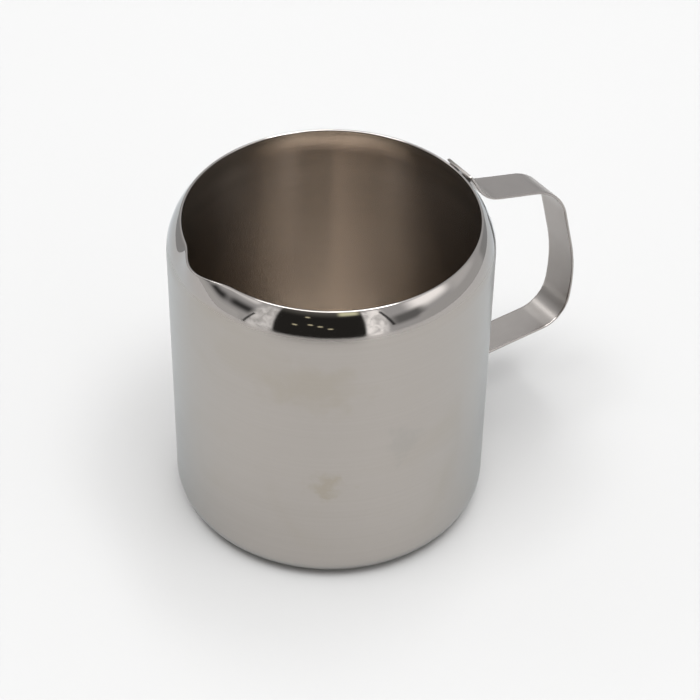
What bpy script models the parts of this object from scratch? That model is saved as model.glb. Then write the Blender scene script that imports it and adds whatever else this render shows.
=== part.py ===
"""Small straight-sided milk jug: a drawn steel shell with a rolled-in shoulder, a pressed pouring lip
and a strap handle held on by spot welds.

Frame: origin at the centre of the base on the shell's axis, +Z up, handle along +X, pouring lip along -X.
"""

from math import atan2, cos, pi, radians, sin, sqrt, tan

import bmesh
import bpy
from mathutils import Matrix, Vector

# Driving dimensions, in metres and degrees.
WALL_RADIUS = 0.0370
HEIGHT = 0.0780
SHEET = 0.0006
MOUTH_RADIUS = 0.0336
SHOULDER_RADIUS = 0.0127
BASE_RADIUS = 0.0058

LIP_HALF_ANGLE = radians(17)
LIP_THROW = 0.0026

STRAP_WIDTH = 0.0095
STRAP_THICKNESS = 0.0006
STRAP_GAP = 0.0004
FLANGE_LEAN = radians(31)
FLANGE_RISE = 0.0008
HANDLE_ROOT_HEIGHT = 0.0686
HANDLE_TOP_SLOPE = radians(15.4)
HANDLE_TOP_REACH = 0.0632
GRIP_LENGTH = 0.0274
GRIP_LEAN = radians(14.6)
HEEL_LENGTH = 0.0154
HEEL_LEAN = radians(7.7)
HANDLE_FOOT_HEIGHT = 0.0202
LOWER_FLANGE_LENGTH = 0.0090
ROOT_BEND = 0.0105
TOP_BEND = 0.0143
GRIP_BEND = 0.0424
HEEL_BEND = 0.0077
FOOT_BEND = 0.0030

WELD_RADIUS = 0.0014
WELD_THICKNESS = 0.0002
WELD_SPREAD = 0.0024
UPPER_WELD_DROP = 0.0006
LOWER_WELD_DROP = 0.0055

# Fineness of the faceted solids.
SHELL_SEGMENTS = 72
SHOULDER_STEPS = 7
BASE_STEPS = 5
BEND_STEP = radians(7)
WELD_SEGMENTS = 16

# Worked out from the sizes above.
SHOULDER_CENTRE_R = WALL_RADIUS - SHOULDER_RADIUS
SHOULDER_DROP = sqrt(SHOULDER_RADIUS**2 - (MOUTH_RADIUS - SHOULDER_CENTRE_R) ** 2)
SHOULDER_CENTRE_Z = HEIGHT - SHOULDER_DROP


def clear_scene():
    for obj in list(bpy.data.objects):
        bpy.data.objects.remove(obj, do_unlink=True)


def steel(name, colour, roughness):
    material = bpy.data.materials.new(name)
    material.use_nodes = True
    shader = material.node_tree.nodes["Principled BSDF"]
    shader.inputs["Base Color"].default_value = (*colour, 1.0)
    shader.inputs["Metallic"].default_value = 1.0
    shader.inputs["Roughness"].default_value = roughness
    return material


def add_object(name, bm, material):
    bmesh.ops.recalc_face_normals(bm, faces=bm.faces)
    mesh = bpy.data.meshes.new(name)
    bm.to_mesh(mesh)
    bm.free()
    mesh.materials.append(material)
    mesh.shade_smooth()
    mesh.set_sharp_from_angle(angle=radians(40))
    obj = bpy.data.objects.new(name, mesh)
    bpy.context.scene.collection.objects.link(obj)
    return obj


def arc(centre, radius, start, end, steps):
    """Points (r, z) round a circle, from the start angle to the end angle, both included."""
    angles = [start + (end - start) * k / steps for k in range(steps + 1)]
    return [(centre[0] + radius * cos(a), centre[1] + radius * sin(a)) for a in angles]


def shell_side(inset):
    """The shell's profile from the base to the lip, moved inwards by the inset."""
    lip_angle = atan2(SHOULDER_DROP, MOUTH_RADIUS - SHOULDER_CENTRE_R)
    base_centre = (WALL_RADIUS - BASE_RADIUS, BASE_RADIUS)
    side = arc(base_centre, BASE_RADIUS - inset, -pi / 2, 0, BASE_STEPS)
    shoulder_centre = (SHOULDER_CENTRE_R, SHOULDER_CENTRE_Z)
    return side + arc(shoulder_centre, SHOULDER_RADIUS - inset, 0, lip_angle, SHOULDER_STEPS)


def press_lip(bm):
    """Pushes the shoulder outwards round -X, most at the lip and not at all where the wall begins."""
    for vert in bm.verts:
        x, y, z = vert.co
        away = atan2(abs(y), -x)
        rise = (z - SHOULDER_CENTRE_Z) / SHOULDER_DROP
        if rise <= 0 or away >= LIP_HALF_ANGLE:
            continue
        push = LIP_THROW * rise**2 * cos(pi / 2 * away / LIP_HALF_ANGLE) ** 2
        outward = Vector((x, y, 0)).normalized()
        vert.co += push * outward


def shell_angles():
    """Angles round the shell, closer together across the pouring lip."""
    coarse = 2 * pi / SHELL_SEGMENTS
    fine = coarse / 2
    count = round(2 * LIP_HALF_ANGLE / fine)
    lip = [pi - LIP_HALF_ANGLE + 2 * LIP_HALF_ANGLE * k / count for k in range(count + 1)]
    rest_span = 2 * pi - 2 * LIP_HALF_ANGLE
    rest_count = round(rest_span / coarse)
    rest = [pi + LIP_HALF_ANGLE + rest_span * k / rest_count for k in range(1, rest_count)]
    return lip + rest


def jug_body(material):
    outer = shell_side(0)
    inner = shell_side(SHEET)
    profile = outer + inner[::-1]
    bm = bmesh.new()
    rings = []
    angles = shell_angles()
    for r, z in profile:
        rings.append([bm.verts.new((r * cos(a), r * sin(a), z)) for a in angles])
    for low, high in zip(rings, rings[1:]):
        bmesh.ops.bridge_loops(bm, edges=ring_edges(bm, low) + ring_edges(bm, high))
    bm.faces.new(rings[0])
    bm.faces.new(rings[-1])
    press_lip(bm)
    return add_object("jug_body", bm, material)


def ring_edges(bm, ring):
    """The closed loop of edges through a ring of vertices."""
    edges = []
    for a, b in zip(ring, ring[1:] + ring[:1]):
        edges.append(bm.edges.get((a, b)) or bm.edges.new((a, b)))
    return edges


def bent(corners, radii):
    """A path (x, z) through the corners, each inner corner rounded to its own bend radius."""
    path = [corners[0]]
    for before, corner, after, radius in zip(corners, corners[1:], corners[2:], radii):
        back = (before - corner).normalized()
        on = (after - corner).normalized()
        half = back.angle(on) / 2
        centre = corner + (back + on).normalized() * radius / sin(half)
        start = corner + back * radius / tan(half) - centre
        turn = pi - 2 * half
        side = 1 if back.cross(start) > 0 else -1
        steps = max(2, round(turn / BEND_STEP))
        for k in range(steps + 1):
            path.append(centre + Matrix.Rotation(side * turn * k / steps, 2) @ start)
    path.append(corners[-1])
    return path


def flange_frame():
    """Where the upper flange lies nearest the shoulder: its middle plane's point, outward and upward."""
    outward = Vector((cos(FLANGE_LEAN), sin(FLANGE_LEAN)))
    upward = Vector((-sin(FLANGE_LEAN), cos(FLANGE_LEAN)))
    centre = Vector((SHOULDER_CENTRE_R, SHOULDER_CENTRE_Z))
    near = centre + outward * (SHOULDER_RADIUS + STRAP_GAP + STRAP_THICKNESS / 2)
    return near, outward, upward


def strap_path():
    near, _, upward = flange_frame()
    top = near + upward * FLANGE_RISE
    root = near + upward * ((HANDLE_ROOT_HEIGHT - near.y) / upward.y)
    shoulder = Vector((HANDLE_TOP_REACH, root.y - (HANDLE_TOP_REACH - root.x) * tan(HANDLE_TOP_SLOPE)))
    grip = shoulder + GRIP_LENGTH * Vector((sin(GRIP_LEAN), -cos(GRIP_LEAN)))
    heel = grip + HEEL_LENGTH * Vector((-sin(HEEL_LEAN), -cos(HEEL_LEAN)))
    wall_x = WALL_RADIUS + STRAP_GAP + STRAP_THICKNESS / 2
    foot = Vector((wall_x, HANDLE_FOOT_HEIGHT))
    end = foot - Vector((0, LOWER_FLANGE_LENGTH))
    corners = [top, root, shoulder, grip, heel, foot, end]
    return bent(corners, [ROOT_BEND, TOP_BEND, GRIP_BEND, HEEL_BEND, FOOT_BEND])


def handle_strap(material):
    bm = bmesh.new()
    side = [bm.verts.new((p.x, -STRAP_WIDTH / 2, p.y)) for p in strap_path()]
    edges = [bm.edges.new(pair) for pair in zip(side, side[1:])]
    made = bmesh.ops.extrude_edge_only(bm, edges=edges)
    far = [v for v in made["geom"] if isinstance(v, bmesh.types.BMVert)]
    bmesh.ops.translate(bm, verts=far, vec=(0, STRAP_WIDTH, 0))
    strap = add_object("handle_strap", bm, material)
    solidify = strap.modifiers.new("sheet thickness", "SOLIDIFY")
    solidify.thickness = STRAP_THICKNESS
    solidify.offset = 0
    solidify.use_even_offset = True
    return strap


def weld_nugget(name, point, outward, y, material):
    """A flat disc of fused metal in the gap under a flange, given the flange's middle plane."""
    bm = bmesh.new()
    depth = STRAP_THICKNESS / 2 + STRAP_GAP / 2
    bmesh.ops.create_cone(bm, cap_ends=True, segments=WELD_SEGMENTS, radius1=WELD_RADIUS,
                          radius2=WELD_RADIUS, depth=WELD_THICKNESS)
    nugget = add_object(name, bm, material)
    nugget.location = (point.x - outward.x * depth, y, point.y - outward.y * depth)
    nugget.rotation_euler = (0, pi / 2 - atan2(outward.y, outward.x), 0)
    return nugget


def weld_nuggets(material):
    near, outward, upward = flange_frame()
    upper = near - upward * UPPER_WELD_DROP
    wall_x = WALL_RADIUS + STRAP_GAP + STRAP_THICKNESS / 2
    lower = Vector((wall_x, HANDLE_FOOT_HEIGHT - LOWER_WELD_DROP))
    for side, y in (("left", -WELD_SPREAD), ("right", WELD_SPREAD)):
        weld_nugget(f"upper_weld_{side}", upper, outward, y, material)
        weld_nugget(f"lower_weld_{side}", lower, Vector((1, 0)), y, material)


def main():
    clear_scene()
    jug_body(steel("satin steel", (0.62, 0.60, 0.58), 0.32))
    handle_strap(steel("brushed strap steel", (0.58, 0.56, 0.54), 0.36))
    weld_nuggets(steel("fused steel", (0.42, 0.40, 0.39), 0.5))


main()
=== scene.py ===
"""Looks for the small straight-sided milk jug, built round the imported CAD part.

The shell, the strap and the four weld nuggets are remade here as fine meshes, with the CAD part's own
driving sizes, and given brushed, satin and polished steel. The frame is the CAD part's: metres, +Z up,
handle along +X, pouring lip along -X.
"""

from math import atan2, cos, hypot, pi, radians, sin, sqrt, tan

import bmesh
import bpy
import numpy as np
from mathutils import Matrix, Vector


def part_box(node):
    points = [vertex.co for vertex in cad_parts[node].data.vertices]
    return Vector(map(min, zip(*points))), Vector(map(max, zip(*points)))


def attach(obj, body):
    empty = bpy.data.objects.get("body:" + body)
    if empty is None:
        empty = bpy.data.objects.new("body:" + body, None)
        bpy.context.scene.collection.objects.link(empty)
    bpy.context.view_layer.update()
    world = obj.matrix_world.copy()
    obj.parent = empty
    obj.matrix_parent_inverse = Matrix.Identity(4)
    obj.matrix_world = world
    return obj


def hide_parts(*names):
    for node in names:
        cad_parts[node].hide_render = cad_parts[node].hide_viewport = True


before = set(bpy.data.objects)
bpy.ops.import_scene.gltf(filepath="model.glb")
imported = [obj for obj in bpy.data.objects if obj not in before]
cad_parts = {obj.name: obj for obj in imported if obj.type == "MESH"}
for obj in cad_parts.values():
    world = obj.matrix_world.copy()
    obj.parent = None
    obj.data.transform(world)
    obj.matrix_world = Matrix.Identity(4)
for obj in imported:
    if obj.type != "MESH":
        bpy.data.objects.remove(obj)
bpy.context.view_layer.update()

# Driving sizes of the jug, as in the CAD part. The overall ones are read from the frame.
shell_low, shell_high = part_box("jug_body")
strap_low, strap_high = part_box("handle_strap")
HEIGHT = shell_high.z
WALL_RADIUS = shell_high.x
STRAP_WIDTH = strap_high.y - strap_low.y
SHEET = 0.0006
MOUTH_RADIUS = 0.0336
SHOULDER_RADIUS = 0.0127
BASE_RADIUS = 0.0058
LIP_HALF_ANGLE = radians(17)
LIP_THROW = 0.0026

STRAP_THICKNESS = 0.0006
STRAP_GAP = 0.0004
FLANGE_LEAN = radians(31)
FLANGE_RISE = 0.0008
HANDLE_ROOT_HEIGHT = 0.0686
HANDLE_TOP_SLOPE = radians(15.4)
HANDLE_TOP_REACH = 0.0632
GRIP_LENGTH = 0.0274
GRIP_LEAN = radians(14.6)
HEEL_LENGTH = 0.0154
HEEL_LEAN = radians(7.7)
HANDLE_FOOT_HEIGHT = 0.0202
LOWER_FLANGE_LENGTH = 0.0090
ROOT_BEND = 0.0105
TOP_BEND = 0.0143
GRIP_BEND = 0.0424
HEEL_BEND = 0.0077
FOOT_BEND = 0.0030

WELD_RADIUS = 0.0014
WELD_THICKNESS = 0.0002
WELD_SPREAD = 0.0024
UPPER_WELD_DROP = 0.0006
LOWER_WELD_DROP = 0.0055

SHOULDER_CENTRE_R = WALL_RADIUS - SHOULDER_RADIUS
SHOULDER_DROP = sqrt(SHOULDER_RADIUS**2 - (MOUTH_RADIUS - SHOULDER_CENTRE_R) ** 2)
SHOULDER_CENTRE_Z = HEIGHT - SHOULDER_DROP

# Fineness of the meshes, and the roundings that only they have.
SHELL_SEGMENTS = 288
FLOOR_STEPS = 14
BASE_STEPS = 16
WALL_STEPS = 34
SHOULDER_STEPS = 36
LIP_EDGE_STEPS = 12
LIP_EDGE_TURN = radians(1.2)
CENTRE_RING = 0.0006
BEND_STEPS = 48
STRAP_SPACING = 0.0004
STRAP_FACE_POINTS = 25
STRAP_EDGE_POINTS = 9
STRAP_END_CORNER = 0.0005
NUGGET_SEGMENTS = 40
NUGGET_RIM_POINTS = 7

# Finishes of the steel: colours, roughness and how much it varies, how far a reflection is drawn out
# across the brushing, and how strongly the textures show.
OUTSIDE_DARK = (0.434, 0.403, 0.373, 1)
OUTSIDE_LIGHT = (0.450, 0.420, 0.391, 1)
STAINED = (0.398, 0.358, 0.300, 1)
SMUDGED = (0.396, 0.374, 0.348, 1)
POLISHED = (0.420, 0.394, 0.374, 1)
INSIDE_DARK = (0.419, 0.366, 0.314, 1)
INSIDE_LIGHT = (0.465, 0.407, 0.350, 1)
SCRATCHED = (0.56, 0.51, 0.46, 1)
STRAP_DARK = (0.342, 0.320, 0.303, 1)
STRAP_LIGHT = (0.434, 0.408, 0.389, 1)
SATIN_ROUGH = 0.30
BRUSHED_ROUGH = 0.26
POLISHED_ROUGH = 0.05
STRAP_ROUGH = 0.30
SATIN_VARIES = 0.02
BRUSHED_VARIES = 0.011
SCRATCH_ADDS = 0.002
STRAP_VARIES = 0.015
SATIN_DRAWN = 0.5
BRUSHED_DRAWN = 1.0
BRUSHING_TURN = 0.25
STAIN_STRENGTH = 0.30
SCRATCH_STRENGTH = 0.08
SATIN_BUMP = 0.04
POLISHED_BUMP = 0.01
BRUSHED_BUMP = 0.02
STRAP_BUMP = 0.03
WELD_BUMP = 0.4
EDGE_TINT = (0.87, 0.93, 0.97, 1)
WELD_DARK = (0.15, 0.13, 0.12, 1)
WELD_LIGHT = (0.27, 0.24, 0.22, 1)

# Brushing: streaks to the metre round the jug (or along the strap), and across.
FINE_GRAIN = (14, 3600)
COARSE_GRAIN = (9, 1300)
SCRATCH_GRAIN = (8, 2200)
SCRATCH_CLIMB = 0.07
STRAP_GRAIN = (90, 5200)

# Noises the same in every direction: features to the metre.
STAIN_SCALE = 42.0
MOTTLE_SCALE = 240.0
WANDER_SCALE = 230.0
STRAP_MOTTLE_SCALE = 600.0
STRAP_CLOUD_SCALE = 110.0
WELD_MOTTLE_SCALE = 2500.0

# How far a bump of full strength stands out, and how far the outline of a mark wanders.
GRAIN_HEIGHT = 0.00002
WELD_GRAIN_HEIGHT = 0.00005
WANDER_REACH = 0.016

# The polish begins and is complete this far above the centre of the shoulder's rounding.
POLISH_START = 0.0024
POLISH_FULL = 0.0044

# The tumbled band begins and is complete this far in from the strap's edges.
TUMBLED_START = 0.0007
TUMBLED_FULL = 0.0002
TUMBLED_ROUGH = 0.2
TUMBLED_STRENGTH = 0.5

# Water marks and smudges on the wall: centre, reach across and up, strength and colour.
MARKS = (
    ((-0.0234, -0.0286, 0.0587), 0.0150, 0.0090, 0.50, STAINED),
    ((-0.0212, -0.0303, 0.0300), 0.0062, 0.0042, 0.85, STAINED),
    ((-0.0044, -0.0367, 0.0392), 0.0058, 0.0062, 0.60, SMUDGED),
)

# Camera, as the reference view sees the jug.
CAMERA_AZIMUTH = radians(-34.3)
CAMERA_ELEVATION = radians(40.4)
CAMERA_ROLL = radians(0.57)
CAMERA_DISTANCE = 0.4943
CAMERA_LENS_MM = 108.7
CAMERA_CLIP_START = 0.01
AIM_RIGHT = 0.0046
AIM_UP = -0.0002

# Floor.
FLOOR_RADIUS = 0.45
FLOOR_SEGMENTS = 96
FLOOR_COLOUR = (0.51, 0.51, 0.51, 1)
FLOOR_ROUGH = 0.9

# Light tent. Directions are in degrees: azimuth from the camera's side, positive to its right, and
# elevation. A softness is half the width of a border.
TENT_STRENGTH = 1.12
BEHIND = (0.85, 0.85, 0.85, 1)
PAPER_LOW = (0.60, 0.60, 0.61, 1)
PAPER_HIGH = (0.70, 0.70, 0.70, 1)
PAPER_RISE = (36, 66)

# The bright ceiling. Seen from above, on the unit circle of directions, its sides fan out in degrees
# from a point FAN_BACK away from the camera. Its brightness is given in the middle of the fan, towards
# its sides, and beyond them.
CEILING_RISE = (53, 67)
FAN_BACK = 0.77
FAN_MIDDLE = -2.0
FAN_FADE = (8, 25)
FAN_SPAN = (-30, 26.5)
FAN_SOFT = 1.5
CEILING_MIDDLE = 7.6
CEILING_SIDES = 9.7
CEILING_BEYOND = 1.7

# Greys laid over the paper: azimuths, elevations, softness, brightness.
SHADES = (
    ((-400, 400), (75, 120), 4, 1.10),
    ((56, 86), (16, 36), 7, 1.72),
    ((88, 112), (6, 30), 6, 0.78),
    ((-180, -104), (38, 76), 5, 0.80),
    ((-126, -108), (43, 53), 3, 2.90),
    ((-180, -112), (-4, 28), 6, 0.50),
    ((-112, -78), (6, 24), 6, 0.42),
    ((-80, -52), (30, 38), 3, 1.20),
    ((-71, -50), (9, 22), 6, 0.06),
    ((40, 62), (2, 19), 5, 0.20),
    ((-180, -58), (-25, 4), 3, 0.42),
    ((-92, -58), (-25, 4), 4, 0.68),
    ((58, 120), (-25, 5), 3, 0.60),
    ((120, 180), (-25, 3), 3, 0.40),
)

# Crinkled white strips beside the doorway: azimuths, elevations, lean, brightness of the folds.
STRIPS = (
    ((-53.5, -34), (-20, 36), -0.12, 0.65, 1.18),
    ((21, 36), (-20, 40), 0, 0.91, 1.66),
)
STRIP_SOFT = 3
FOLDS_ACROSS = 0.22
FOLDS_UP = 0.07

# Dark seams beyond the strips: azimuths, elevations, lean.
SEAMS = (
    ((-54.8, -53.2), (-20, 14), -0.27),
    ((40, 42), (3, 34), 0.17),
)
SEAM_SOFT = 0.5
SEAM_GREY = 0.06

# The dark doorway towards the camera, the coloured patch in it, and the small lamps at azimuth, elevation.
DOORWAY = ((-36.5, 22.5), (-30, 47), 1.2)
ROOM_LOW = (0.030, 0.029, 0.027, 1)
ROOM_HIGH = (0.20, 0.195, 0.18, 1)
ROOM_RISE = (30, 46)
COLOURED_PATCH = ((6, 20), (36, 46), 2.5)
PATCH_COLOUR = (1.05, 1.05, 0.72, 1)
LAMPS = ((-23, 14), (-16, 31), (-13, 17), (-6.5, 15), (0, 11))
LAMP_HALF_WIDTH = 1.5
LAMP_HALF_HEIGHT = 1
LAMP_SOFT = 0.6
LAMP_COLOUR = (0.95, 0.88, 0.62, 1)


# Meshes

def new_object(name, bm, material, sharp_angle=radians(50)):
    bmesh.ops.recalc_face_normals(bm, faces=bm.faces)
    mesh = bpy.data.meshes.new(name)
    bm.to_mesh(mesh)
    bm.free()
    mesh.materials.append(material)
    mesh.shade_smooth()
    mesh.set_sharp_from_angle(angle=sharp_angle)
    obj = bpy.data.objects.new(name, mesh)
    bpy.context.scene.collection.objects.link(obj)
    return obj


def arc(centre, radius, start, end, steps):
    """Points (r, z) round a circle, from the start angle to the end angle, both included."""
    angles = [start + (end - start) * k / steps for k in range(steps + 1)]
    return [(centre[0] + radius * cos(a), centre[1] + radius * sin(a)) for a in angles]


def straight(first, last, steps):
    """The points between two (r, z) points, without the two themselves."""
    return [tuple(a + (b - a) * k / steps for a, b in zip(first, last)) for k in range(1, steps)]


def join_rings(bm, rings):
    """Quads between each ring of vertices and the next one."""
    for low, high in zip(rings, rings[1:]):
        for k in range(len(low)):
            n = (k + 1) % len(low)
            bm.faces.new((low[k], low[n], high[n], high[k]))


def press_lip(x, y, z):
    """How far the pressed pouring lip pushes a point of the shell outwards."""
    away = atan2(abs(y), -x)
    rise = (z - SHOULDER_CENTRE_Z) / SHOULDER_DROP
    if rise <= 0 or away >= LIP_HALF_ANGLE:
        return 0
    return LIP_THROW * rise**2 * cos(pi / 2 * away / LIP_HALF_ANGLE) ** 2


def shell_profile():
    """The shell's section as two sides of (r, z) points, the outer one and then the inner one.

    The outer side runs from the base's outside centre up to the lip and over its rounded edge. The inner
    side runs on from there down to the inside centre.
    """
    lip_angle = atan2(SHOULDER_DROP, MOUTH_RADIUS - SHOULDER_CENTRE_R) - LIP_EDGE_TURN
    base_centre = (WALL_RADIUS - BASE_RADIUS, BASE_RADIUS)
    shoulder_centre = (SHOULDER_CENTRE_R, SHOULDER_CENTRE_Z)
    sides = []
    for inset in (0, SHEET):
        base = arc(base_centre, BASE_RADIUS - inset, -pi / 2, 0, BASE_STEPS)
        shoulder = arc(shoulder_centre, SHOULDER_RADIUS - inset, 0, lip_angle, SHOULDER_STEPS)
        floor = straight((CENTRE_RING, base[0][1]), base[0], FLOOR_STEPS)
        wall = straight(base[-1], shoulder[0], WALL_STEPS)
        sides.append(floor + base + wall + shoulder)
    middle = arc(shoulder_centre, SHOULDER_RADIUS - SHEET / 2, 0, lip_angle, 1)[1]
    edge = arc(middle, SHEET / 2, lip_angle, lip_angle + pi, LIP_EDGE_STEPS)[1:-1]
    return sides[0] + edge, sides[1][::-1]


def build_shell(material):
    """The shell, with its distance along the section and its inner side kept as attributes."""
    outer, inner = shell_profile()
    profile = outer + inner
    bm = bmesh.new()
    along_layer = bm.verts.layers.float.new("along")
    inner_layer = bm.verts.layers.float.new("inner")
    rings = []
    along = 0
    for j, (r, z) in enumerate(profile):
        along += hypot(r - profile[j - 1][0], z - profile[j - 1][1]) if j else 0
        ring = []
        for k in range(SHELL_SEGMENTS):
            a = 2 * pi * k / SHELL_SEGMENTS
            reach = r + press_lip(cos(a), sin(a), z)
            vert = bm.verts.new((reach * cos(a), reach * sin(a), z))
            vert[along_layer] = along
            vert[inner_layer] = float(j >= len(outer))
            ring.append(vert)
        rings.append(ring)
    join_rings(bm, rings)
    for ring in (rings[0], rings[-1]):
        middle = bm.verts.new((0, 0, ring[0].co.z))
        middle[along_layer] = ring[0][along_layer]
        middle[inner_layer] = ring[0][inner_layer]
        for vert, following in zip(ring, ring[1:] + ring[:1]):
            bm.faces.new((vert, following, middle))
    return new_object("shell", bm, material)


def bent(corners, radii, spacing):
    """A path (x, z) through the corners, each rounded to its bend radius, with evenly spaced points.

    Gives the points and how far along the path each one is.
    """
    path = [corners[0]]
    for before, corner, after, radius in zip(corners, corners[1:], corners[2:], radii):
        back = (before - corner).normalized()
        on = (after - corner).normalized()
        half = back.angle(on) / 2
        centre = corner + (back + on).normalized() * radius / sin(half)
        start = corner + back * radius / tan(half) - centre
        turn = pi - 2 * half
        side = 1 if back.cross(start) > 0 else -1
        for k in range(BEND_STEPS + 1):
            path.append(centre + Matrix.Rotation(side * turn * k / BEND_STEPS, 2) @ start)
    path.append(corners[-1])
    points = np.array(path)
    along = np.concatenate([[0], np.cumsum(np.hypot(*np.diff(points, axis=0).T))])
    even = np.linspace(0, along[-1], round(along[-1] / spacing) + 1)
    even_x = np.interp(even, along, points[:, 0])
    even_z = np.interp(even, along, points[:, 1])
    return [Vector(point) for point in zip(even_x, even_z)], even


def flange_frame():
    """Where the upper flange lies nearest the shoulder: its middle plane's point, outward and upward."""
    outward = Vector((cos(FLANGE_LEAN), sin(FLANGE_LEAN)))
    upward = Vector((-sin(FLANGE_LEAN), cos(FLANGE_LEAN)))
    centre = Vector((SHOULDER_CENTRE_R, SHOULDER_CENTRE_Z))
    near = centre + outward * (SHOULDER_RADIUS + STRAP_GAP + STRAP_THICKNESS / 2)
    return near, outward, upward


def strap_corners():
    near, _, upward = flange_frame()
    top = near + upward * FLANGE_RISE
    root = near + upward * ((HANDLE_ROOT_HEIGHT - near.y) / upward.y)
    shoulder = Vector((HANDLE_TOP_REACH, root.y - (HANDLE_TOP_REACH - root.x) * tan(HANDLE_TOP_SLOPE)))
    grip = shoulder + GRIP_LENGTH * Vector((sin(GRIP_LEAN), -cos(GRIP_LEAN)))
    heel = grip + HEEL_LENGTH * Vector((-sin(HEEL_LEAN), -cos(HEEL_LEAN)))
    foot = Vector((WALL_RADIUS + STRAP_GAP + STRAP_THICKNESS / 2, HANDLE_FOOT_HEIGHT))
    return [top, root, shoulder, grip, heel, foot, foot - Vector((0, LOWER_FLANGE_LENGTH))]


def strap_section(half_width):
    """The strap's cross-section as (across, through) points, flat with rounded edges."""
    half = STRAP_THICKNESS / 2
    flat = half_width - half
    across = np.linspace(-flat, flat, STRAP_FACE_POINTS)
    turns = np.linspace(0, pi, STRAP_EDGE_POINTS)[1:-1]
    top = [(a, half) for a in across]
    right = [(flat + half * sin(t), half * cos(t)) for t in turns]
    bottom = [(a, -half) for a in across[::-1]]
    left = [(-flat - half * sin(t), -half * cos(t)) for t in turns]
    return top + right + bottom + left


def corner_pull(end):
    """How far a strap edge is drawn in, this far from the strap's end, to round its corners."""
    if end >= STRAP_END_CORNER:
        return 0
    return STRAP_END_CORNER - sqrt(STRAP_END_CORNER**2 - (STRAP_END_CORNER - end) ** 2)


def build_strap(material):
    """The strap, with its distances along and across kept as a UV map."""
    radii = [ROOT_BEND, TOP_BEND, GRIP_BEND, HEEL_BEND, FOOT_BEND]
    path, along = bent(strap_corners(), radii, STRAP_SPACING)
    bm = bmesh.new()
    uv = bm.loops.layers.uv.new("strap")
    rings, places = [], []
    for k, (p, s) in enumerate(zip(path, along)):
        before, after = path[max(k - 1, 0)], path[min(k + 1, len(path) - 1)]
        direction = (after - before).normalized()
        outward = Vector((direction.y, -direction.x))
        pull = corner_pull(min(s, along[-1] - s))
        ring, place = [], []
        for across, through in strap_section(STRAP_WIDTH / 2 - pull):
            spot = p + outward * through
            ring.append(bm.verts.new((spot.x, across, spot.y)))
            place.append((s, across))
        rings.append(ring)
        places.append(place)
    count = len(rings[0])
    for j in range(len(rings) - 1):
        for k in range(count):
            n = (k + 1) % count
            face = bm.faces.new((rings[j][k], rings[j][n], rings[j + 1][n], rings[j + 1][k]))
            spots = (places[j][k], places[j][n], places[j + 1][n], places[j + 1][k])
            for loop, spot in zip(face.loops, spots):
                loop[uv].uv = spot
    bm.faces.new(rings[0])
    bm.faces.new(rings[-1])
    return new_object("strap", bm, material, radians(60))


def build_nugget(name, point, outward, y, material):
    """A disc of fused metal with a rounded rim, in the gap under a flange."""
    bm = bmesh.new()
    depth = STRAP_THICKNESS / 2 + STRAP_GAP / 2
    half = WELD_THICKNESS / 2
    angles = np.linspace(0, 2 * pi, NUGGET_SEGMENTS + 1)[:-1]
    rings = []
    for t in np.linspace(-pi / 2, pi / 2, NUGGET_RIM_POINTS):
        r = WELD_RADIUS - half + half * cos(t)
        rings.append([bm.verts.new((r * cos(a), r * sin(a), half * sin(t))) for a in angles])
    join_rings(bm, rings)
    bm.faces.new(rings[0])
    bm.faces.new(rings[-1])
    nugget = new_object(name, bm, material)
    nugget.location = (point.x - outward.x * depth, y, point.y - outward.y * depth)
    nugget.rotation_euler = (0, pi / 2 - atan2(outward.y, outward.x), 0)
    return nugget


# Materials

class Nodes:
    """A small helper that adds shader nodes and links them by name."""

    def __init__(self, tree):
        self.tree = tree

    def add(self, kind, inputs=(), **settings):
        node = self.tree.nodes.new(kind)
        for name, value in settings.items():
            setattr(node, name, value)
        for name, value in dict(inputs).items():
            if isinstance(value, bpy.types.NodeSocket):
                self.tree.links.new(value, node.inputs[name])
            else:
                node.inputs[name].default_value = value
        return node

    def math(self, operation, a, b=0.0):
        return self.add("ShaderNodeMath", {0: a, 1: b}, operation=operation).outputs[0]

    def vector(self, operation, *values):
        """Vector maths, and its result as a vector."""
        return self.add("ShaderNodeVectorMath", dict(enumerate(values)), operation=operation).outputs[0]

    def measure(self, operation, *values):
        """Vector maths, and its result as a number."""
        node = self.add("ShaderNodeVectorMath", dict(enumerate(values)), operation=operation)
        return node.outputs["Value"]

    def combine(self, x, y, z):
        return self.add("ShaderNodeCombineXYZ", {0: x, 1: y, 2: z}).outputs[0]

    def noise(self, place, scale, detail, **inputs):
        """Noise of this many features to the metre, as a node."""
        return self.add("ShaderNodeTexNoise", {"Vector": place, "Scale": scale, "Detail": detail, **inputs})

    def bump(self, height, strength, distance):
        node = self.add("ShaderNodeBump", {"Height": height, "Strength": strength, "Distance": distance})
        return node.outputs[0]

    def mix(self, factor, a, b):
        """One colour over another."""
        return self.add("ShaderNodeMix", {0: factor, 6: a, 7: b}, data_type="RGBA").outputs[2]

    def blend(self, factor, a, b):
        """One number over another."""
        return self.add("ShaderNodeMix", {0: factor, 2: a, 3: b}).outputs[0]

    def ramp(self, value, low, high, to_low=0.0, to_high=1.0):
        """A smooth rise from one number to the other as the value goes from low to high."""
        node = self.add("ShaderNodeMapRange", {0: value, 1: low, 2: high, 3: to_low, 4: to_high},
                        interpolation_type="SMOOTHSTEP")
        return node.outputs[0]

    def link(self, socket, node, name):
        self.tree.links.new(socket, node.inputs[name])


def blank_material(name):
    material = bpy.data.materials.new(name)
    material.use_nodes = True
    tree = material.node_tree
    tree.nodes.clear()
    nodes = Nodes(tree)
    output = nodes.add("ShaderNodeOutputMaterial")
    shader = nodes.add("ShaderNodeBsdfPrincipled", {"Metallic": 1.0})
    tree.links.new(shader.outputs[0], output.inputs[0])
    return material, nodes, shader


def attribute(nodes, name):
    return nodes.add("ShaderNodeAttribute", attribute_name=name).outputs["Fac"]


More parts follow.
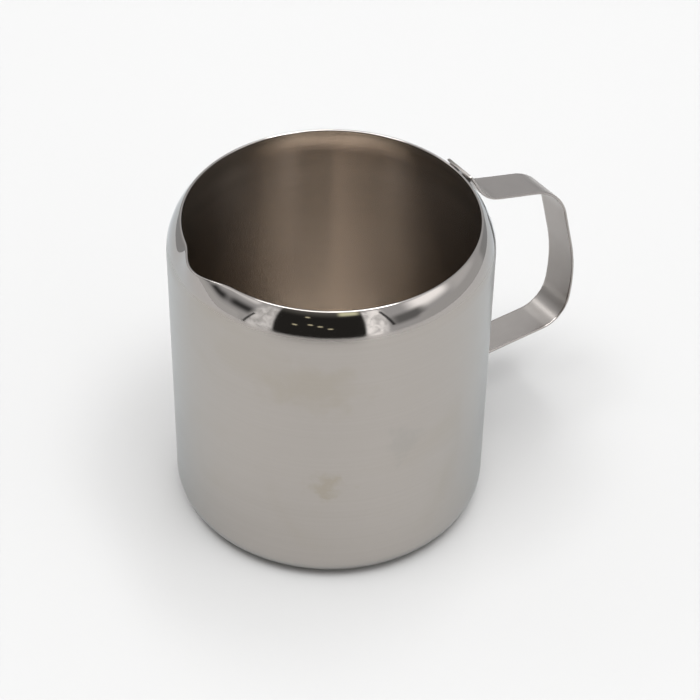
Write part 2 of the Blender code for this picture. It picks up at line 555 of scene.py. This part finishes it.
def brushing(nodes, x, y, across, grain):
    """Noise drawn out into streaks that run round the jug."""
    around, fineness = grain
    place = nodes.combine(nodes.math("MULTIPLY", x, around), nodes.math("MULTIPLY", y, around),
                          nodes.math("MULTIPLY", across, fineness))
    return nodes.ramp(nodes.noise(place, 1.0, 3.0).outputs[0], 0.3, 0.7)


def smudge(nodes, place, centre, across, up):
    """A faint mark that fades out this far to the side of and above a point."""
    offset = nodes.vector("SUBTRACT", place, centre)
    scaled = nodes.vector("MULTIPLY", offset, (1 / across, 1 / across, 1 / up))
    return nodes.ramp(nodes.measure("LENGTH", scaled), 0.25, 1.0, 1.0, 0.0)


def marked(nodes, colour, place):
    """The colour with the water marks and smudges laid over it, their outlines made uneven."""
    wander = nodes.noise(place, WANDER_SCALE, 3.0).outputs["Color"]
    wander = nodes.vector("SUBTRACT", wander, (0.5, 0.5, 0.5))
    wander = nodes.vector("MULTIPLY_ADD", wander, (WANDER_REACH, WANDER_REACH, WANDER_REACH), place)
    for centre, across, up, strength, mark_colour in MARKS:
        mark = smudge(nodes, wander, centre, across, up)
        colour = nodes.mix(nodes.math("MULTIPLY", mark, strength), colour, mark_colour)
    return colour


def shell_steel():
    """Satin outside with faint stains, polished shoulder and lip, brushed round the inside."""
    material, nodes, shader = blank_material("shell_steel")
    place = nodes.add("ShaderNodeTexCoord").outputs["Object"]
    x, y, z = nodes.add("ShaderNodeSeparateXYZ", {0: place}).outputs
    along = attribute(nodes, "along")
    inner = attribute(nodes, "inner")

    fine = brushing(nodes, x, y, along, FINE_GRAIN)
    coarse = brushing(nodes, x, y, along, COARSE_GRAIN)
    grain = nodes.blend(0.45, fine, coarse)
    scratch_place = nodes.math("ADD", along, nodes.math("MULTIPLY", x, SCRATCH_CLIMB))
    scratches = nodes.ramp(brushing(nodes, x, y, scratch_place, SCRATCH_GRAIN), 0.88, 1.0)
    stain = nodes.ramp(nodes.noise(place, STAIN_SCALE, 3.0, Distortion=0.6).outputs[0], 0.50, 0.75)
    mottle = nodes.noise(place, MOTTLE_SCALE, 4.0).outputs[0]
    polish = nodes.ramp(z, SHOULDER_CENTRE_Z + POLISH_START, SHOULDER_CENTRE_Z + POLISH_FULL)
    polish = nodes.math("MULTIPLY", polish, nodes.math("SUBTRACT", 1.0, inner))

    outside = nodes.mix(grain, OUTSIDE_DARK, OUTSIDE_LIGHT)
    outside = nodes.mix(nodes.math("MULTIPLY", stain, STAIN_STRENGTH), outside, STAINED)
    outside = nodes.mix(polish, marked(nodes, outside, place), POLISHED)
    inside = nodes.mix(grain, INSIDE_DARK, INSIDE_LIGHT)
    inside = nodes.mix(nodes.math("MULTIPLY", scratches, SCRATCH_STRENGTH), inside, SCRATCHED)
    nodes.link(nodes.mix(inner, outside, inside), shader, "Base Color")

    satin = nodes.ramp(nodes.blend(0.35, grain, mottle), 0.15, 0.85,
                       SATIN_ROUGH - SATIN_VARIES, SATIN_ROUGH + SATIN_VARIES)
    brushed = nodes.ramp(grain, 0.1, 0.9,
                         BRUSHED_ROUGH - BRUSHED_VARIES, BRUSHED_ROUGH + BRUSHED_VARIES)
    brushed = nodes.math("ADD", brushed, nodes.math("MULTIPLY", scratches, SCRATCH_ADDS))
    rough = nodes.blend(inner, nodes.blend(polish, satin, POLISHED_ROUGH), brushed)
    nodes.link(rough, shader, "Roughness")

    strength = nodes.blend(inner, nodes.blend(polish, SATIN_BUMP, POLISHED_BUMP), BRUSHED_BUMP)
    nodes.link(nodes.bump(grain, strength, GRAIN_HEIGHT), shader, "Normal")

    round_it = nodes.add("ShaderNodeTangent", direction_type="RADIAL", axis="Z").outputs[0]
    nodes.link(round_it, shader, "Tangent")
    drawn_out = nodes.blend(inner, nodes.blend(polish, SATIN_DRAWN, 0.0), BRUSHED_DRAWN)
    nodes.link(drawn_out, shader, "Anisotropic")
    shader.inputs["Specular Tint"].default_value = EDGE_TINT
    shader.inputs["Anisotropic Rotation"].default_value = BRUSHING_TURN
    return material


def strap_steel():
    """Satin strip, rolled along its length, a little brighter where its edges were tumbled."""
    material, nodes, shader = blank_material("strap_steel")
    strip = nodes.add("ShaderNodeUVMap", uv_map="strap").outputs[0]
    stretched = nodes.add("ShaderNodeMapping", {"Vector": strip, "Scale": (*STRAP_GRAIN, 1)}).outputs[0]
    grain = nodes.noise(stretched, 1.0, 3.0).outputs[0]
    place = nodes.add("ShaderNodeTexCoord").outputs["Object"]
    mottle = nodes.noise(place, STRAP_MOTTLE_SCALE, 2.0).outputs[0]
    cloud = nodes.noise(place, STRAP_CLOUD_SCALE, 2.0).outputs[0]
    mixed = nodes.blend(0.5, grain, mottle)
    across = nodes.add("ShaderNodeSeparateXYZ", {0: strip}).outputs[1]
    tumbled = nodes.ramp(nodes.math("ABSOLUTE", across),
                         STRAP_WIDTH / 2 - TUMBLED_START, STRAP_WIDTH / 2 - TUMBLED_FULL)

    colour = nodes.mix(nodes.blend(0.5, mixed, cloud), STRAP_DARK, STRAP_LIGHT)
    colour = nodes.mix(nodes.math("MULTIPLY", tumbled, TUMBLED_STRENGTH), colour, POLISHED)
    nodes.link(colour, shader, "Base Color")
    rough = nodes.ramp(mixed, 0.25, 0.75, STRAP_ROUGH - STRAP_VARIES, STRAP_ROUGH + STRAP_VARIES)
    nodes.link(nodes.blend(tumbled, rough, TUMBLED_ROUGH), shader, "Roughness")
    nodes.link(nodes.bump(mixed, STRAP_BUMP, GRAIN_HEIGHT), shader, "Normal")
    return material


def weld_steel():
    """Dark, dull metal that was melted and has set."""
    material, nodes, shader = blank_material("weld_steel")
    place = nodes.add("ShaderNodeTexCoord").outputs["Object"]
    mottle = nodes.noise(place, WELD_MOTTLE_SCALE, 4.0).outputs[0]
    nodes.link(nodes.mix(mottle, WELD_DARK, WELD_LIGHT), shader, "Base Color")
    nodes.link(nodes.ramp(mottle, 0.3, 0.7, 0.4, 0.6), shader, "Roughness")
    nodes.link(nodes.bump(mottle, WELD_BUMP, WELD_GRAIN_HEIGHT), shader, "Normal")
    return material


# Stage

def view_axes(azimuth, elevation):
    """The directions from the object to a camera there, to its right, and up in its picture."""
    back = Vector((sin(azimuth) * cos(elevation), -cos(azimuth) * cos(elevation), sin(elevation)))
    right = Vector((cos(azimuth), sin(azimuth), 0))
    return back, right, back.cross(right)


def build_camera():
    back, right, up = view_axes(CAMERA_AZIMUTH, CAMERA_ELEVATION)
    data = bpy.data.cameras.new("camera")
    data.lens = CAMERA_LENS_MM
    data.clip_start = CAMERA_CLIP_START
    camera = bpy.data.objects.new("camera", data)
    bpy.context.scene.collection.objects.link(camera)
    middle = Vector((0, 0, HEIGHT / 2))
    place = middle + back * CAMERA_DISTANCE
    toward = (middle + right * AIM_RIGHT + up * AIM_UP - place).normalized()
    picture_right = (right * cos(CAMERA_ROLL) + up * sin(CAMERA_ROLL)).normalized()
    picture_right = (picture_right - toward * picture_right.dot(toward)).normalized()
    picture_up = picture_right.cross(toward)
    turned = Matrix((picture_right, picture_up, -toward)).transposed().to_4x4()
    camera.matrix_world = Matrix.Translation(place) @ turned
    bpy.context.scene.camera = camera


def build_floor():
    bm = bmesh.new()
    bmesh.ops.create_circle(bm, cap_ends=True, segments=FLOOR_SEGMENTS, radius=FLOOR_RADIUS)
    material = bpy.data.materials.new("floor")
    material.use_nodes = True
    shader = material.node_tree.nodes["Principled BSDF"]
    shader.inputs["Base Color"].default_value = FLOOR_COLOUR
    shader.inputs["Roughness"].default_value = FLOOR_ROUGH
    floor = new_object("floor", bm, material)


class Tent:
    """Helpers for painting a world by direction."""

    def __init__(self, nodes):
        self.nodes = nodes
        self.direction = nodes.add("ShaderNodeTexCoord").outputs["Generated"]
        back, right, _ = view_axes(CAMERA_AZIMUTH, 0)
        self.to_back, self.to_right = self.toward(back), self.toward(right)
        upward = self.toward(Vector((0, 0, 1)))
        self.azimuth = nodes.math("DEGREES", nodes.math("ARCTAN2", self.to_right, self.to_back))
        self.elevation = nodes.math("DEGREES", nodes.math("ARCSINE", upward))

    def toward(self, axis):
        return self.nodes.measure("DOT_PRODUCT", self.direction, axis)

    def grey(self, brightness):
        return self.nodes.combine(brightness, brightness, brightness)

    def band(self, value, low, high, soft):
        """1 between low and high, and 0 outside them."""
        rise = self.nodes.ramp(value, low - soft, low + soft)
        fall = self.nodes.ramp(value, high - soft, high + soft, 1.0, 0.0)
        return self.nodes.math("MULTIPLY", rise, fall)

    def patch(self, across, up, soft, lean=0.0):
        """How much a direction lies in this span of azimuth, leaning with elevation, and of elevation."""
        nodes = self.nodes
        upright = nodes.math("ADD", self.azimuth, nodes.math("MULTIPLY", self.elevation, lean))
        return nodes.math("MULTIPLY", self.band(upright, *across, soft),
                          self.band(self.elevation, *up, soft))

    def ceiling(self):
        """The brightness of the ceiling, by its fan of directions."""
        nodes = self.nodes
        behind = nodes.math("ADD", self.to_back, FAN_BACK)
        fan = nodes.math("DEGREES", nodes.math("ARCTAN2", self.to_right, behind))
        from_middle = nodes.math("ABSOLUTE", nodes.math("ADD", fan, -FAN_MIDDLE))
        glow = nodes.ramp(from_middle, *FAN_FADE, CEILING_MIDDLE, CEILING_SIDES)
        return nodes.blend(self.band(fan, *FAN_SPAN, FAN_SOFT), CEILING_BEYOND, glow)

    def folds(self):
        """Noise that runs up and down, like crinkled paper."""
        nodes = self.nodes
        place = nodes.combine(nodes.math("MULTIPLY", self.azimuth, FOLDS_ACROSS),
                              nodes.math("MULTIPLY", self.elevation, FOLDS_UP), 0.0)
        return nodes.noise(place, 1.0, 3.0, Distortion=0.8).outputs[0]


def build_world():
    """A white light tent, lit from both sides and open towards the camera, where the dark room shows."""
    world = bpy.data.worlds.new("tent")
    bpy.context.scene.world = world
    world.use_nodes = True
    tree = world.node_tree
    tree.nodes.clear()
    nodes = Nodes(tree)
    output = nodes.add("ShaderNodeOutputWorld")
    tent = Tent(nodes)

    seen = nodes.mix(nodes.ramp(tent.elevation, *PAPER_RISE), PAPER_LOW, PAPER_HIGH)
    seen = nodes.mix(nodes.ramp(tent.elevation, *CEILING_RISE), seen, tent.grey(tent.ceiling()))
    for across, up, soft, brightness in SHADES:
        seen = nodes.mix(tent.patch(across, up, soft), seen, tent.grey(brightness))
    folds = tent.folds()
    for across, up, lean, low, high in STRIPS:
        paper = tent.grey(nodes.ramp(folds, 0.3, 0.7, low, high))
        seen = nodes.mix(tent.patch(across, up, STRIP_SOFT, lean), seen, paper)
    for across, up, lean in SEAMS:
        seen = nodes.mix(tent.patch(across, up, SEAM_SOFT, lean), seen, tent.grey(SEAM_GREY))
    room = nodes.mix(nodes.ramp(tent.elevation, *ROOM_RISE), ROOM_LOW, ROOM_HIGH)
    seen = nodes.mix(tent.patch(*DOORWAY), seen, room)
    seen = nodes.mix(tent.patch(*COLOURED_PATCH), seen, PATCH_COLOUR)
    for azimuth, elevation in LAMPS:
        across = (azimuth - LAMP_HALF_WIDTH, azimuth + LAMP_HALF_WIDTH)
        up = (elevation - LAMP_HALF_HEIGHT, elevation + LAMP_HALF_HEIGHT)
        seen = nodes.mix(tent.patch(across, up, LAMP_SOFT), seen, LAMP_COLOUR)

    behind = nodes.add("ShaderNodeLightPath").outputs["Is Camera Ray"]
    seen = nodes.mix(behind, seen, BEHIND)
    shader = nodes.add("ShaderNodeBackground", {"Color": seen, "Strength": TENT_STRENGTH})
    tree.links.new(shader.outputs[0], output.inputs[0])


bpy.context.scene.view_settings.view_transform = "Standard"
bpy.context.scene.cycles.glossy_bounces = 8
bpy.context.scene.cycles.max_bounces = 10
build_camera()
build_world()
build_floor()

shell = build_shell(shell_steel())
strap = build_strap(strap_steel())
for piece, node, slot in ((shell, "jug_body", "shell_steel"), (strap, "handle_strap", "strap_steel")):
    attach(piece, "root")
    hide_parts(node)

weld_metal = weld_steel()
near, lean, up_flange = flange_frame()
upper = near - up_flange * UPPER_WELD_DROP
lower = Vector((WALL_RADIUS + STRAP_GAP + STRAP_THICKNESS / 2, HANDLE_FOOT_HEIGHT - LOWER_WELD_DROP))
for level, spot, outward in (("upper", upper, lean), ("lower", lower, Vector((1, 0)))):
    for side, y in (("left", -WELD_SPREAD), ("right", WELD_SPREAD)):
        nugget = build_nugget(f"{level}_nugget_{side}", spot, outward, y, weld_metal)
        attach(nugget, "root")
        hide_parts(f"{level}_weld_{side}")
